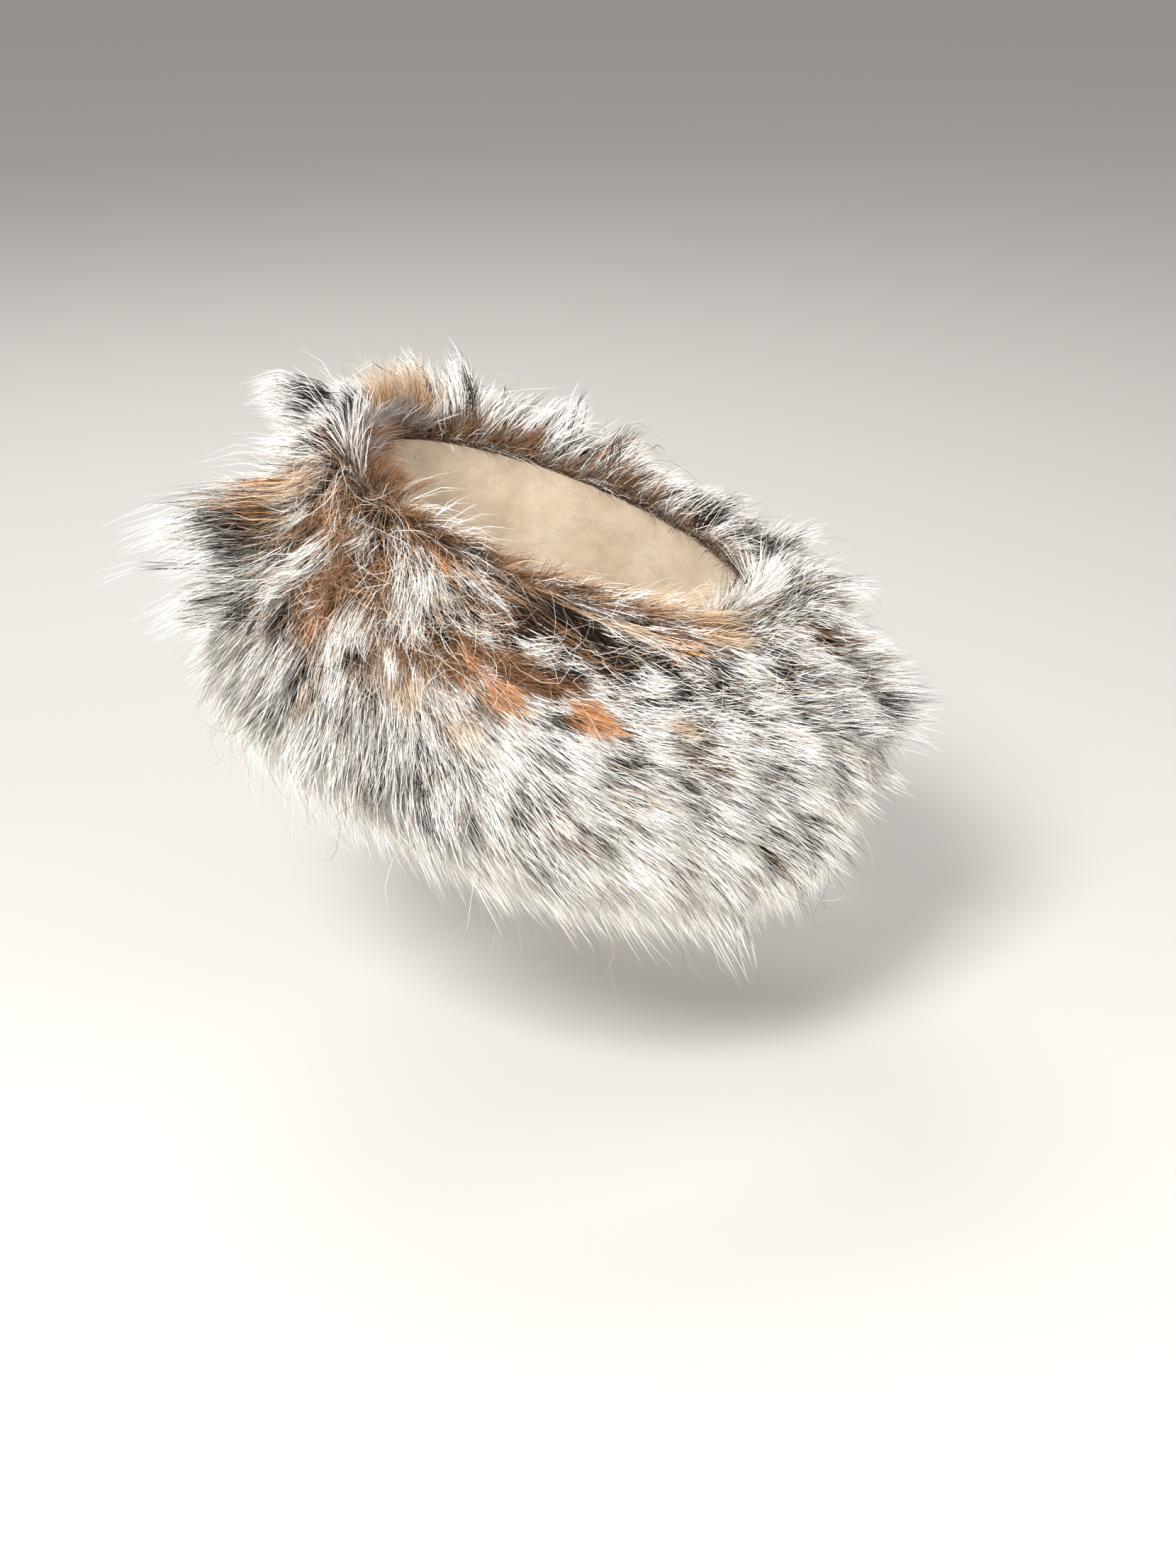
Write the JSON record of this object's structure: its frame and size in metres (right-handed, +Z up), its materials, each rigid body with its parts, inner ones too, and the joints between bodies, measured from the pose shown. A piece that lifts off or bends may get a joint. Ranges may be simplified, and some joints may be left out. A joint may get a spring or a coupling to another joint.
{
  "type": "fur headband",
  "caption": "Ring of long-haired coyote fur worn round the head over the ears, with a bare hide wall inside an open head hollow.",
  "frame": {"origin": "middle of the head opening, level with the middle of the hide's top edge, where a head holds the band", "axes": "+Z up, -X towards the high front edge at the forehead, +X towards the low nape edge, +Y towards one side of the head"},
  "size_m": [0.4177, 0.322, 0.2815],
  "materials": {
    "hide": "napped suede, flesh side",
    "fur": "long glossy hair, white-tipped over tan and dark brown"
  },
  "bodies": {
    "root": {"pelt_band": "hide", "fur": "fur"}
  },
  "joints": []
}
